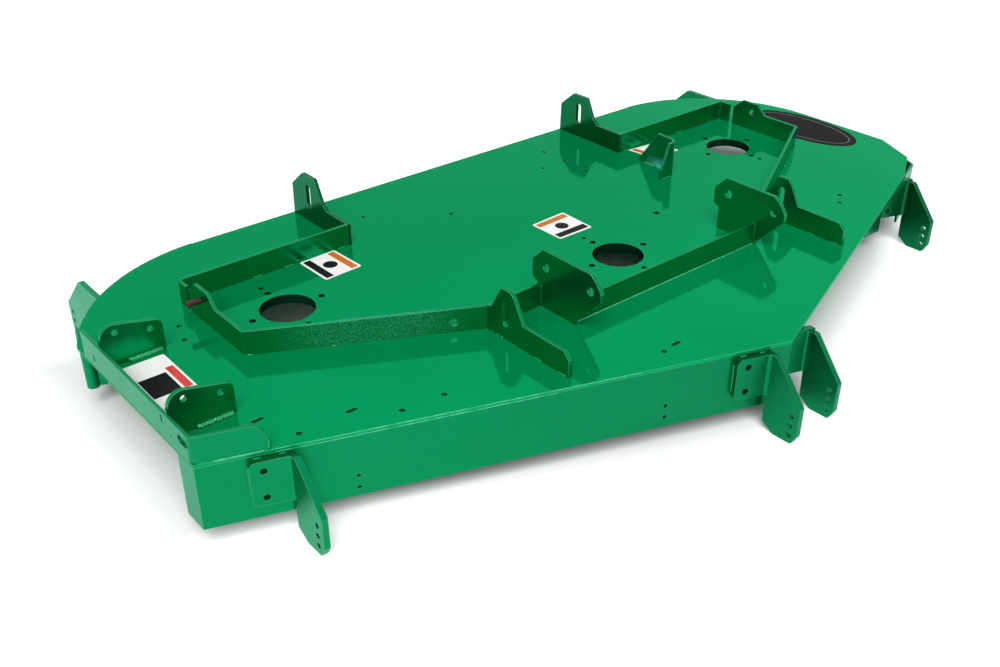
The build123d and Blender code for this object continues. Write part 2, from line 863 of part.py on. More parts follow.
with BuildPart() as bent_tab:
    with BuildSketch() as tab_sketch:
        with BuildLine():
            Polyline(
                (tab_outer, tab_back),
                (tab_outer - strip, tab_back),
                (tab_outer - strip, tab_front + strip),
                (tab_outer - tab_return, tab_front + strip),
                (tab_outer - tab_return, tab_front),
                (tab_outer, tab_front),
                close=True,
            )
        make_face()
        fillet(tab_sketch.vertices().sort_by_distance((tab_outer, tab_front))[0], tab_bend)
        inside_corner = (tab_outer - strip, tab_front + strip)
        fillet(tab_sketch.vertices().sort_by_distance(inside_corner)[0], tab_inner_bend)
    extrude(amount=tab_top)
    with BuildSketch(upright(tab_outer - tab_return)):
        with BuildLine():
            Polyline(
                (tab_front + tab_top_length, tab_top),
                (tab_back, tab_top),
                (tab_back, strip),
                close=True,
            )
        make_face()
    extrude(amount=tab_return, mode=Mode.SUBTRACT)
    with BuildSketch(facing_front(tab_front + tab_bend)):
        with BuildLine():
            Polyline(
                (tab_outer - tab_slope_start, tab_top),
                (tab_outer - tab_return, tab_top),
                (tab_outer - tab_return, tab_tip_height),
                close=True,
            )
        make_face()
    extrude(amount=tab_bend, mode=Mode.SUBTRACT)
save(bent_tab.part, "bent_tab")
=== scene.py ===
"""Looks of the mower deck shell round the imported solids: paint, weld beads, stickers and a white studio."""
from math import cos, pi, radians, sin, tan

import bmesh
import bpy
from mathutils import Matrix, Vector


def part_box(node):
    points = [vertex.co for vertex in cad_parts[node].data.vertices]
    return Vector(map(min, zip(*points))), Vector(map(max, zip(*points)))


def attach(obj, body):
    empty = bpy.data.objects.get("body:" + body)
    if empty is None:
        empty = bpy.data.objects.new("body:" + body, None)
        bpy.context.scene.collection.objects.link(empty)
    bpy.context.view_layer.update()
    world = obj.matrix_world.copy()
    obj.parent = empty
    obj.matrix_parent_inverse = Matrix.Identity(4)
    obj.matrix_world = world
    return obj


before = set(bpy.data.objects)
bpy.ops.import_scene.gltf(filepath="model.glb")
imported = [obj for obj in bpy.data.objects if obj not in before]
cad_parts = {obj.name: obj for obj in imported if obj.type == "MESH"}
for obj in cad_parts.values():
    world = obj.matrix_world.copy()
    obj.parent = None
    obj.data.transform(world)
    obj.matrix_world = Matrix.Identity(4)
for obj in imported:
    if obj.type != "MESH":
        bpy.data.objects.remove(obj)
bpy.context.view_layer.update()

# Pieces are laid out in mm, shaders and the studio in metres
MM = 0.001

# The deck's outline in mm: its front edges meet at the apex on the centre line
APEX_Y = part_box("front_skirt")[0][1] / MM
FRONT_ANGLE = radians(19.85)
FRONT_SLOPE = tan(FRONT_ANGLE)
DECK_SIDE = 790.0
DECK_REAR = 487.0
SPINDLE_X = 508
SPINDLE_Y = 194
SPINDLES = [(-SPINDLE_X, SPINDLE_Y), (0, 0), (SPINDLE_X, SPINDLE_Y)]

# Places in the paint, in metres
EDGE_ROUNDING = 0.0013
BORE_MIDDLE_Z = -0.007
BORE_REACH = 0.066
HOLE_REACH = 0.012
SPARKLE_CENTRE = (-0.462, 0.034, 0.02)
TAB_BEND_Y = 0.173

# The floor in metres: lifted to white past the deck's edges, but for the shade behind its left end
FLOOR_Z = -0.1362
FLOOR_REACH = 14.0
FLOOR_LIFT = 0.4
LIFT_START = -0.02
LIFT_FULL = 0.09
FRONT_LIFT_RATE = 1.5
END_LIFT_SHIFT = 0.08
SHADE_CENTRE = (0.56, 0.30, FLOOR_Z)
SHADE_RADIUS = 0.36
WORLD_LIGHT = 0.18

# Colours are linear RGB
PAINT = (0.001, 0.345, 0.118)
PAINT_DEEP = (0.001, 0.310, 0.100)
# Painted shade: the deck's paint deepens towards the rear
PAINT_REAR_SHADE = (0.001, 0.272, 0.090)
# The walls and brackets carry a shaded copy of the deck paint, with further painted shade away from the right
# end
WALL_PAINT = (0.001, 0.254, 0.093)
WALL_PAINT_DEEP = (0.001, 0.232, 0.081)
WALL_PAINT_FAR_SHADE = (0.001, 0.184, 0.066)
# What stands on the deck carries a shaded copy of the deck paint, a painted shade
RIB_PAINT = (0.001, 0.275, 0.085)
RIB_PAINT_DEEP = (0.001, 0.245, 0.072)
# Painted shade: a darker copy of the rib paint for the rear hangers and the far bracket
HANGER_SHADE_PAINT = (0.001, 0.128, 0.043)
HANGER_SHADE_PAINT_DEEP = (0.001, 0.114, 0.037)
# Painted shade: a darker copy of the rib paint for the tab
TAB_SHADE_PAINT = (0.001, 0.195, 0.066)
TAB_SHADE_PAINT_DEEP = (0.001, 0.180, 0.058)
# Painted highlight on rounded edges
PAINT_EDGE_HIGHLIGHT = (0.120, 0.560, 0.300)
# Painted highlight: pale specks for sparkle on the side rib's coarse peel
PAINT_SPARKLE_HIGHLIGHT = (0.070, 0.480, 0.330)
# Painted shade inside the holes and spindle bores
HOLE_SHADE = (0.002, 0.035, 0.018)
# Painted highlight: pale seam beads along the front edge and the cross rib's foot
SEAM_PALE_HIGHLIGHT = (0.110, 0.580, 0.350)
# Painted highlight: a cool glint low on the tab's long face
PAINTED_TAB_GLINT = (0.160, 0.720, 0.820)
STICKER_WHITE = (0.96, 0.96, 0.94)
STICKER_WHITE_WORN = (0.92, 0.92, 0.90)
STICKER_ORANGE = (0.64, 0.17, 0.02)
STICKER_ORANGE_WORN = (0.58, 0.15, 0.02)
STICKER_RED = (0.66, 0.035, 0.030)
STICKER_RED_WORN = (0.60, 0.03, 0.025)
STICKER_BLACK = (0.006, 0.006, 0.007)
STICKER_BLACK_WORN = (0.012, 0.012, 0.013)
OVAL_DARK = (0.010, 0.009, 0.009)
OVAL_DARK_WORN = (0.016, 0.014, 0.014)
OVAL_LINE = (0.10, 0.13, 0.11)
OVAL_LINE_WORN = (0.08, 0.10, 0.09)
PIN_BROWN = (0.090, 0.036, 0.028)
PIN_DARK = (0.045, 0.022, 0.018)
FLOOR_WHITE = (0.90, 0.90, 0.90)
FLOOR_SPECK = (0.885, 0.885, 0.885)

# Tints of the paint's gloss on faces seen at a slant
DEEP_SLANT = (0.20, 0.85, 0.70)
MID_SLANT = (0.60, 0.90, 0.80)
PALE_SLANT = (0.72, 1.00, 0.95)
BEAD_SLANT = (0.30, 0.90, 0.75)


# Materials

class Shader:
    """A Principled material with short calls for the nodes that feed it."""

    def __init__(self, name):
        self.material = bpy.data.materials.new(name)
        self.material.use_nodes = True
        self.tree = self.material.node_tree
        self.bsdf = self.tree.nodes["Principled BSDF"]
        coordinates = self.tree.nodes.new("ShaderNodeTexCoord")
        self.place = coordinates.outputs["Object"]
        self.normal = coordinates.outputs["Normal"]

    def set(self, **sockets):
        """Sets inputs of the Principled node, with underscores for the spaces in their names."""
        for name, value in sockets.items():
            self.bsdf.inputs[name.replace("_", " ")].default_value = value

    def link(self, output, socket):
        """Feeds an input of the Principled node."""
        self.tree.links.new(output, self.bsdf.inputs[socket])

    def noise(self, scale, detail=2.0):
        """Cloudy noise over the piece, mostly between 0.3 and 0.7."""
        node = self.tree.nodes.new("ShaderNodeTexNoise")
        node.inputs["Scale"].default_value = scale
        node.inputs["Detail"].default_value = detail
        self.tree.links.new(self.place, node.inputs["Vector"])
        return node.outputs["Fac"]

    def range(self, value, low, high, from_low=0.3, from_high=0.7):
        """The value mapped from one range to another, and held within it."""
        node = self.tree.nodes.new("ShaderNodeMapRange")
        node.inputs["From Min"].default_value = from_low
        node.inputs["From Max"].default_value = from_high
        node.inputs["To Min"].default_value = low
        node.inputs["To Max"].default_value = high
        self.tree.links.new(value, node.inputs["Value"])
        return node.outputs["Result"]

    def mix(self, share, first, second):
        """A blend of two colours, each a tuple or an output: share is the second's."""
        node = self.tree.nodes.new("ShaderNodeMix")
        node.data_type = "RGBA"
        colours = [socket for socket in node.inputs if socket.type == "RGBA"]
        for socket, colour in zip(colours, (first, second)):
            if isinstance(colour, tuple):
                socket.default_value = (*colour, 1)
            else:
                self.tree.links.new(colour, socket)
        self.tree.links.new(share, node.inputs["Factor"])
        return [socket for socket in node.outputs if socket.type == "RGBA"][0]

    def math(self, operation, *values):
        """Arithmetic on numbers and outputs."""
        node = self.tree.nodes.new("ShaderNodeMath")
        node.operation = operation
        for socket, value in zip(node.inputs, values):
            if isinstance(value, (int, float)):
                socket.default_value = value
            else:
                self.tree.links.new(value, socket)
        return node.outputs["Value"]

    def axis(self, vector, letter):
        """One coordinate of a vector."""
        node = self.tree.nodes.new("ShaderNodeSeparateXYZ")
        self.tree.links.new(vector, node.inputs["Vector"])
        return node.outputs[letter]

    def distance(self, point):
        """How far the surface is from a point."""
        node = self.tree.nodes.new("ShaderNodeVectorMath")
        node.operation = "DISTANCE"
        self.tree.links.new(self.place, node.inputs[0])
        node.inputs[1].default_value = point
        return node.outputs["Value"]

    def edge_share(self, soft_normal):
        """One on the rounded edges, nought on flat faces."""
        facing = self.tree.nodes.new("ShaderNodeVectorMath")
        facing.operation = "DOT_PRODUCT"
        self.tree.links.new(soft_normal, facing.inputs[0])
        self.tree.links.new(self.normal, facing.inputs[1])
        return self.range(facing.outputs["Value"], 1.0, 0.0, from_low=0.90, from_high=0.995)

    def round_edges(self, radius):
        """Normals that turn softly over sharp edges, as thick paint does."""
        node = self.tree.nodes.new("ShaderNodeBevel")
        node.samples = 6
        node.inputs["Radius"].default_value = radius
        return node.outputs["Normal"]

    def bump(self, height, strength, distance, under=None):
        """Normals of a fine relief, on top of other normals if given."""
        node = self.tree.nodes.new("ShaderNodeBump")
        node.inputs["Strength"].default_value = strength
        node.inputs["Distance"].default_value = distance
        self.tree.links.new(height, node.inputs["Height"])
        if under:
            self.tree.links.new(under, node.inputs["Normal"])
        return node.outputs["Normal"]


def gloss_paint(name, low, high, metallic, roughness, peel=0.04, shine=0.25, slant_tint=DEEP_SLANT):
    """Thick green gloss paint: drifts of colour, a painted highlight on the edges, orange peel and a slightly
    uneven gloss.

    The colour before any later change stays in its body.
    """
    paint = Shader(name)
    soft_normal = paint.round_edges(EDGE_ROUNDING)
    # Painted highlight: the edges turn pale in colour; the same edge share also sets a real coat on them
    edge = paint.math("MULTIPLY", paint.edge_share(soft_normal), 0.5)
    drift = paint.range(paint.noise(scale=4.0, detail=3.0), 0.0, 1.0)
    paint.body = paint.mix(edge, paint.mix(drift, low, high), PAINT_EDGE_HIGHLIGHT)
    paint.link(paint.body, "Base Color")
    paint.link(paint.range(paint.noise(scale=9.0), 0.8 * roughness, 1.2 * roughness), "Roughness")
    broad_noise = paint.noise(scale=55.0, detail=1.0)
    waves = paint.bump(broad_noise, strength=0.02, distance=0.0006, under=soft_normal)
    fine_noise = paint.noise(scale=620.0, detail=1.0)
    surface = paint.bump(fine_noise, strength=peel, distance=0.00025, under=waves)
    paint.link(surface, "Normal")
    paint.link(surface, "Coat Normal")
    paint.link(edge, "Coat Weight")
    paint.set(Metallic=metallic, Specular_IOR_Level=shine, Coat_Roughness=0.08)
    paint.set(Specular_Tint=(*slant_tint, 1))
    return paint


def deck_paint():
    """Deck paint, half mirror and half matt, with painted shade deepening it to the rear and painted shade
    inside the holes.
    """
    paint = gloss_paint("green_deck_paint", PAINT_DEEP, PAINT, metallic=0.45, roughness=0.07,
                        shine=0.0, slant_tint=MID_SLANT)
    # Painted shade: the deck deepens towards the rear, but not at its left end
    rear_shade = paint.range(paint.axis(paint.place, "Y"), 0.0, 0.85, from_low=-0.15, from_high=0.20)
    off_left_end = paint.range(paint.axis(paint.place, "X"), 1.0, 0.0, from_low=0.45, from_high=0.80)
    body = paint.mix(paint.math("MULTIPLY", rear_shade, off_left_end), paint.body, PAINT_REAR_SHADE)

    # Painted shade: upright bore walls near the spindles and the insides of holes, found by occlusion, turn
    # dark
    flatness = paint.math("ABSOLUTE", paint.axis(paint.normal, "Z"))
    upright = paint.range(flatness, 1.0, 0.0)
    to_spindle = [paint.distance((x * MM, y * MM, BORE_MIDDLE_Z)) for x, y in SPINDLES]
    nearest = paint.math("MINIMUM", paint.math("MINIMUM", *to_spindle[:2]), to_spindle[2])
    in_bore = paint.math("MULTIPLY", upright, paint.math("LESS_THAN", nearest, BORE_REACH))

    shade = paint.tree.nodes.new("ShaderNodeAmbientOcclusion")
    shade.only_local = True
    shade.samples = 8
    shade.inputs["Distance"].default_value = HOLE_REACH
    in_hole = paint.range(shade.outputs["AO"], 1.0, 0.0, from_low=0.35, from_high=0.85)
    dark = paint.math("MAXIMUM", in_bore, in_hole)
    paint.link(paint.mix(dark, body, HOLE_SHADE), "Base Color")
    return paint.material


def wall_paint():
    """Paint of walls and brackets: a shaded copy of the deck paint, a duller mirror than the deck's, with
    painted shade deepening it away from the right end.
    """
    paint = gloss_paint("green_wall_paint", WALL_PAINT_DEEP, WALL_PAINT, metallic=0.85, roughness=0.30,
                        slant_tint=PALE_SLANT)
    # Painted shade: the walls deepen away from the right end
    shade_off_right_end = paint.range(paint.axis(paint.place, "X"), 0.0, 0.85, from_low=-0.60, from_high=-0.05)
    paint.link(paint.mix(shade_off_right_end, paint.body, WALL_PAINT_FAR_SHADE), "Base Color")
    return paint.material


def rib_paint():
    """Paint of what stands on the deck: a shaded copy of the deck paint."""
    return gloss_paint("green_rib_paint", RIB_PAINT_DEEP, RIB_PAINT, metallic=0.85, roughness=0.26).material


def hanger_shade_paint():
    """Painted shade: a darker shaded copy of the rib paint, for the rear hangers and the bracket at the far
    end.
    """
    paint = gloss_paint("green_hanger_shade_paint", HANGER_SHADE_PAINT_DEEP, HANGER_SHADE_PAINT, metallic=0.85, roughness=0.20,
                        slant_tint=MID_SLANT)
    return paint.material


def sparkle_highlight_paint():
    """Rib paint with a coarse peel, and pale matt specks round the middle of the rib as a painted sparkle
    highlight.
    """
    paint = gloss_paint("green_sparkle_highlight_paint", RIB_PAINT_DEEP, RIB_PAINT, metallic=0.85, roughness=0.24,
                        peel=0.5)
    # Painted highlight: pale matt specks stand for sparkle in the middle of the rib
    dots = paint.range(paint.noise(scale=520.0), 0.10, 0.70, from_low=0.42, from_high=0.66)
    patch = paint.range(paint.distance(SPARKLE_CENTRE), 1.0, 0.06, from_low=0.07, from_high=0.15)
    specks = paint.math("MULTIPLY", dots, patch)
    paint.link(paint.mix(specks, paint.body, PAINT_SPARKLE_HIGHLIGHT), "Base Color")
    paint.link(paint.range(specks, 0.85, 0.35, from_low=0.0, from_high=1.0), "Metallic")
    return paint.material


def tab_paint():
    """Paint in a darker shaded copy of the rib paint, with a painted cool highlight low on the tab's long
    face.
    """
    paint = gloss_paint("green_tab_paint", TAB_SHADE_PAINT_DEEP, TAB_SHADE_PAINT, metallic=0.60, roughness=0.16)
    y = paint.axis(paint.place, "Y")
    # Painted highlight: a dappled cool glint low down, by the bend, on the long face
    low_down = paint.range(paint.axis(paint.place, "Z"), 1.0, 0.0, from_low=0.004, from_high=0.022)
    by_bend = paint.range(y, 1.0, 0.0, from_low=0.205, from_high=0.245)
    past_bend = paint.math("GREATER_THAN", y, TAB_BEND_Y)
    glint = paint.range(paint.noise(scale=90.0, detail=3.0), 0.6, 1.0)
    for share in (low_down, by_bend, past_bend):
        glint = paint.math("MULTIPLY", glint, share)
    paint.link(paint.mix(glint, paint.body, PAINTED_TAB_GLINT), "Base Color")
    paint.link(paint.range(glint, 0.60, 0.0, from_low=0.0, from_high=1.0), "Metallic")
    return paint.material


def weld_paint(name, low, high, metallic, coat):
    """Paint over a weld bead, a little lumpier than on plate."""
    paint = Shader(name)
    drift = paint.range(paint.noise(scale=60.0), 0.0, 1.0)
    paint.link(paint.mix(drift, low, high), "Base Color")
    paint.link(paint.range(paint.noise(scale=180.0), 0.10, 0.20), "Roughness")
    lumps = paint.bump(paint.noise(scale=260.0, detail=3.0), strength=0.25, distance=0.0006)
    paint.link(lumps, "Normal")
    paint.link(lumps, "Coat Normal")
    paint.set(Metallic=metallic, Specular_Tint=(*BEAD_SLANT, 1))
    paint.set(Coat_Weight=coat, Coat_Roughness=0.10, Coat_IOR=1.8)
    return paint.material


def vinyl(name, colour, worn, shine=0.4):
    """Printed vinyl: faint mottling in the print and a satin skin."""
    film = Shader(name)
    film.set(Specular_IOR_Level=shine)
    mottling = film.range(film.noise(scale=140.0, detail=4.0), 0.0, 1.0)
    film.link(film.mix(mottling, colour, worn), "Base Color")
    film.link(film.range(film.noise(scale=40.0), 0.32, 0.45), "Roughness")
    film.link(film.bump(film.noise(scale=300.0), strength=0.05, distance=0.0002), "Normal")
    return film.material


def pin_steel():
    """Bare steel with brown surface rust."""
    steel = Shader("pin_rust")
    rust = steel.range(steel.noise(scale=240.0, detail=6.0), 0.0, 1.0)
    steel.link(steel.mix(rust, PIN_BROWN, PIN_DARK), "Base Color")
    steel.link(steel.range(steel.noise(scale=300.0, detail=4.0), 0.45, 0.75), "Roughness")
    steel.link(steel.bump(steel.noise(scale=500.0, detail=4.0), strength=0.3, distance=0.0004), "Normal")
    steel.set(Metallic=0.3)
    return steel.material


def seen_rays(tree):
    """One for what the camera sees, straight or in gloss, and nought for light that falls on things."""
    rays = tree.nodes.new("ShaderNodeLightPath")
    seen = rays.outputs["Is Camera Ray"]
    for kind in ("Is Glossy Ray", "Is Transmission Ray"):
        either = tree.nodes.new("ShaderNodeMath")
        either.operation = "MAXIMUM"
        tree.links.new(seen, either.inputs[0])
        tree.links.new(rays.outputs[kind], either.inputs[1])
        seen = either.outputs["Value"]
    return seen


def floor_white():
    """Pale studio floor, lifted to white where it is seen a little away from the deck's edges."""
    floor = Shader("floor_white")
    speck = floor.range(floor.noise(scale=3.0), 0.0, 1.0)
    floor.link(floor.mix(speck, FLOOR_WHITE, FLOOR_SPECK), "Base Color")
    floor.link(floor.range(floor.noise(scale=30.0), 0.75, 0.9), "Roughness")
    floor.set(Emission_Color=(1, 1, 1, 1))

    x = floor.axis(floor.place, "X")
    y = floor.axis(floor.place, "Y")
    from_middle = floor.math("ABSOLUTE", x)
    front_edge = floor.math("MULTIPLY_ADD", from_middle, FRONT_SLOPE, APEX_Y * MM)
    past_front = floor.math("MULTIPLY", floor.math("SUBTRACT", front_edge, y), FRONT_LIFT_RATE)
    by_right_end = floor.range(x, END_LIFT_SHIFT, 0.0, from_low=-0.75, from_high=-0.20)
    by_left_end = floor.range(x, 0.0, END_LIFT_SHIFT, from_low=0.55, from_high=0.72)
    past_front = floor.math("ADD", past_front, floor.math("MAXIMUM", by_right_end, by_left_end))
    past_side = floor.math("SUBTRACT", from_middle, DECK_SIDE * MM)
    past_rear = floor.math("SUBTRACT", y, DECK_REAR * MM)
    outside = floor.math("MAXIMUM", floor.math("MAXIMUM", past_front, past_side), past_rear)
    past_shade = floor.math("SUBTRACT", floor.distance(SHADE_CENTRE), SHADE_RADIUS)
    outside = floor.math("MINIMUM", outside, past_shade)
    lift = floor.range(outside, 0.0, FLOOR_LIFT, from_low=LIFT_START, from_high=LIFT_FULL)
    floor.link(floor.math("MULTIPLY", lift, seen_rays(floor.tree)), "Emission Strength")
    return floor.material


wall_green = wall_paint()
rib_green = rib_paint()
hanger_shade_green = hanger_shade_paint()
bead_green = weld_paint("green_bead_paint", PAINT_DEEP, PAINT, metallic=0.9, coat=0.25)
ear_bead_green = weld_paint("green_ear_bead_paint", RIB_PAINT_DEEP, PAINT, metallic=0.8, coat=0.45)
# Seam beads in pale paint, a painted highlight
seam_highlight_green = weld_paint("green_seam_highlight_paint", PAINT, SEAM_PALE_HIGHLIGHT, metallic=0.6, coat=0.25)
white_vinyl = vinyl("vinyl_white", STICKER_WHITE, STICKER_WHITE_WORN)
orange_vinyl = vinyl("vinyl_orange", STICKER_ORANGE, STICKER_ORANGE_WORN, shine=0.2)
red_vinyl = vinyl("vinyl_red", STICKER_RED, STICKER_RED_WORN)
black_vinyl = vinyl("vinyl_black", STICKER_BLACK, STICKER_BLACK_WORN, shine=0.04)
oval_vinyl = vinyl("vinyl_dark", OVAL_DARK, OVAL_DARK_WORN, shine=0.01)
ring_vinyl = vinyl("vinyl_ring", OVAL_LINE, OVAL_LINE_WORN, shine=0.05)

node_paints = {
    "deck_plate": deck_paint(),
    # The rear hangers and the far bracket take the painted shade
    "rear_right_hanger": hanger_shade_green,
    "rear_left_hanger": hanger_shade_green,
    "roller_bracket_front_left": hanger_shade_green,
    "right_side_rib": sparkle_highlight_paint(),
    "bent_tab": tab_paint(),
    "rib_pin": pin_steel(),
}


def paint_for(name):
    """Paint of a node: its own, or that of what stands on the deck, or that of the walls."""
    if name in node_paints:
        return node_paints[name]
    on_deck = any(word in name for word in ("rib", "hanger", "arm_plate", "chute_ear"))
    return rib_green if on_deck else wall_green


for name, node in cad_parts.items():
    node.data.materials.clear()
    node.data.materials.append(paint_for(name))


# Pieces

# Weld beads in mm: rings along them, points round a ring, blunt tips and two ripples
BEAD_STEP = 1.1
LEAST_RINGS = 8
BEAD_SEGMENTS = 12
BEAD_TIP = 0.15
RIPPLE_PITCH = 5.2
SLOW_RIPPLE = 0.53

# Steps round a rounded corner
CORNER_SHARES = (0.0, 0.25, 0.5, 0.75, 1.0)


def add_piece(name, builder, material, smooth=True):
    """Makes a riding piece from a filled bmesh."""
    mesh = bpy.data.meshes.new(name)
    bmesh.ops.recalc_face_normals(builder, faces=builder.faces)
    builder.to_mesh(mesh)
    builder.free()
    for polygon in mesh.polygons:
        polygon.use_smooth = smooth
    mesh.materials.append(material)
    piece = bpy.data.objects.new(name, mesh)
    bpy.context.scene.collection.objects.link(piece)
    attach(piece, "root")


def join_loops(builder, first, second):
    """Faces between two closed loops of as many points."""
    for index in range(len(first)):
        after = (index + 1) % len(first)
        builder.faces.new((first[index], first[after], second[after], second[index]))


def weld_bead(name, start, end, radius, ripple=0.06, material=bead_green):
    """Rippled bead along a corner, given in mm, with rounded ends."""
    start, end = Vector(start), Vector(end)
    length = (end - start).length
    along = (end - start) / length
    side = along.orthogonal().normalized()
    other = along.cross(side)
    count = max(LEAST_RINGS, int(length / BEAD_STEP))
    builder = bmesh.new()
    rings = []
    for step in range(count + 1):
        travel = length * step / count
        to_end = min(travel, length - travel)
        cap = min(1.0, (to_end + BEAD_TIP) / radius)
        quick_wave = sin(2 * pi * travel / RIPPLE_PITCH)
        slow_wave = sin(travel * SLOW_RIPPLE + length)
        swell = 1 + ripple * quick_wave + ripple * slow_wave
        ring_radius = radius * swell * (1 - (1 - cap) ** 2) ** 0.5
        centre = start + along * travel
        ring = []
        for segment in range(BEAD_SEGMENTS):
            turn = 2 * pi * segment / BEAD_SEGMENTS
            point = centre + ring_radius * (cos(turn) * side + sin(turn) * other)
            ring.append(builder.verts.new(point * MM))
        rings.append(ring)
    for first, second in zip(rings, rings[1:]):
        join_loops(builder, first, second)
    builder.faces.new(rings[0])
    builder.faces.new(rings[-1])
    add_piece(name, builder, material)


def loop_at(builder, points, z):
    """Points of a flat outline in mm, at one height."""
    return [builder.verts.new((x * MM, y * MM, z * MM)) for x, y in points]


def flat_film(name, corners, low, high, material, rounding=0.0):
    """Thin closed film on the deck from its corners in mm, with rounded corners if asked."""
    outline = []
    for index, corner in enumerate(corners):
        corner = Vector(corner)
        before = Vector(corners[index - 1])
        after = Vector(corners[(index + 1) % len(corners)])
        if rounding:
            first = corner + (before - corner).normalized() * rounding
            last = corner + (after - corner).normalized() * rounding
            for share in CORNER_SHARES:
                outline.append(first.lerp(corner, share).lerp(corner.lerp(last, share), share))
        else:
            outline.append(corner)
    builder = bmesh.new()
    bottom = loop_at(builder, outline, low)
    top = loop_at(builder, outline, high)
    builder.faces.new(bottom)
    builder.faces.new(top)
    join_loops(builder, bottom, top)
    add_piece(name, builder, material, smooth=False)


def oval_points(centre, across, along, count=64):
    """Points round an oval of the given half sizes."""
    turns = [2 * pi * step / count for step in range(count)]
    return [(centre[0] + across * cos(turn), centre[1] + along * sin(turn)) for turn in turns]


def oval_ring(name, centre, across, along, width, low, high, material, count=96):
    """Thin oval line as a closed band."""
    builder = bmesh.new()
    outer = oval_points(centre, across, along, count)
    inner = oval_points(centre, across - width, along - width, count)
    rims = ((outer, low), (outer, high), (inner, high), (inner, low))
    loops = [loop_at(builder, points, z) for points, z in rims]
    for first, second in zip(loops, loops[1:] + loops[:1]):
        join_loops(builder, first, second)
    add_piece(name, builder, material, smooth=False)


# Stickers and the oval panel, with their thicknesses in mm

FILM_TOP = 0.25
PRINT_LOW = 0.2
PRINT_TOP = 0.33
RING_TOP = 0.32
STICKER_ROUNDING = 4.0
SPOT_POINTS = 24
OVAL_CENTRE = (713, 165)
OVAL_SIZE = (62, 126)
RING_SIZE = (50, 112)
RING_WIDTH = 3.0


def field(corners, left, right, low, high):
    """Part of a four-cornered sticker between shares of its width and height."""
    (a, b, c, d) = [Vector(corner) for corner in corners]

    def at(across, up):
        return a.lerp(b, across).lerp(d.lerp(c, across), up)

    return [at(left, low), at(right, low), at(right, high), at(left, high)]


def sticker(name, corners, fields, spot=None):
    """White vinyl label with plain fields of colour, and a round dark spot of radius spot if asked.

    Corners run round from its lower left.
    """
    flat_film(name, corners, 0.0, FILM_TOP, white_vinyl, STICKER_ROUNDING)
    for index, (material, left, right, low, high) in enumerate(fields):
        part = field(corners, left, right, low, high)
        flat_film(f"{name}_field_{index + 1}", part, PRINT_LOW, PRINT_TOP, material)
    if spot:
        middle = sum((Vector(corner) for corner in corners), Vector((0, 0))) / len(corners)
        outline = oval_points(middle, spot, spot, SPOT_POINTS)
        flat_film(f"{name}_spot", outline, PRINT_LOW, PRINT_TOP, black_vinyl)


# Each field has its vinyl, and its left, right, low and high as shares of the label
label_fields = [
    (orange_vinyl, 0.05, 0.95, 0.76, 0.94),
    (black_vinyl, 0.05, 0.95, 0.06, 0.26),
]
sticker("right_sticker", [(-418, 309), (-416, 232), (-346, 236), (-350, 312)], label_fields, spot=12)
sticker("middle_sticker", [(-34, 103), (39.5, 102), (41, 178), (-35, 174)], label_fields, spot=12)
sticker("left_sticker", [(419, 245), (410, 302), (341, 310), (348, 257)], label_fields, spot=11)

# The long label by the discharge rail: red fields on its inner side, black blocks beside them
sticker("discharge_sticker", [(-771, 18), (-709, 18), (-709, 193), (-771, 193)], [
    (red_vinyl, 0.76, 0.95, 0.44, 0.80),
    (black_vinyl, 0.04, 0.70, 0.44, 0.74),
    (red_vinyl, 0.76, 0.95, 0.03, 0.36),
    (black_vinyl, 0.04, 0.70, 0.03, 0.28),
])

flat_film("dark_oval", oval_points(OVAL_CENTRE, *OVAL_SIZE), 0.0, FILM_TOP, oval_vinyl)
oval_ring("dark_oval_ring", OVAL_CENTRE, *RING_SIZE, RING_WIDTH, PRINT_LOW, RING_TOP, ring_vinyl)


# Weld beads, at the feet and seams of the plates in mm

FOOT_Z = 0.4
STITCH_RADIUS = 1.6
EAR_WELD_ENDS = (-757, -702)
EAR_WELD_Z = 0.5
RAIL_WELD_ENDS = (-772, -712)
RAIL_SEAM = (0.5, 13)
RAIL_GAP = 5
HALF_RAIL = 2.5
FRONT_SEAM_END = -345
FRONT_LINE_END = -225
CROSS_RIB_FACE = -115
CROSS_WELD_ENDS = (-202, 202)

# Seams and feet of the left half, which the right half mirrors
RIB_SEAM = (2, 36)
LINK_FACE = -44.5
ARM_INNER = 203.8
ARM_OUTER = 210.2
HANGER_INNER = 308.3
REAR_RIB_FOOT = ((322, 311), (612, 311))
SIDE_RIB_FOOT = ((622.3, 114.5), (315, -46))

# Feet of the front hangers, both on the face towards the right end
FRONT_HANGER_X = 311.5
FRONT_HANGER_ENDS = (-46, -216)
HALF_PLATE = 3.2

# Feet of the bent tab
TAB_FRONT_FOOT = ((283, 166), (308, 166))
TAB_SIDE_FOOT = ((324.5, 190), (324.5, 254))
TAB_INNER_FOOT = ((319.2, 214, 0.6), (319.2, 244, 0.6))

# Shares of a foot's length that carry a stitch
REAR_RIB_STITCHES = [(0.02, 0.07), (0.36, 0.42), (0.56, 0.62), (0.90, 0.96)]
SIDE_RIB_STITCHES = [(0.0, 0.03), (0.34, 0.37)]
FRONT_HANGER_STITCHES = [(0.02, 0.20), (0.60, 0.68), (0.88, 0.98)]
TAB_FRONT_STITCHES = [(0.0, 1.0)]
TAB_SIDE_STITCHES = [(0.0, 0.4), (0.7, 1.0)]
FLANGE_STITCHES = [(0.84, 0.62), (0.18, 0.0)]

# Roller brackets: the flanges' inner corners, and the middle and radius of the round end at each rear arm
FLANGES = (("outer", -689), ("centre", -42))
FLANGE_LENGTH = 49
FLANGE_TOP = -9
FLANGE_EDGE = (-66, -20)
ROUND_ENDS = (("right", -1, 180, 307), ("left", 1, 213, 274))
REAR_ARM_X = 712
REAR_ARM_SEAM = (-85, -8)
HALF_BRACKET = 4.75


def front_y(x):
    """The deck's front edge."""
    return APEX_Y + FRONT_SLOPE * abs(x)


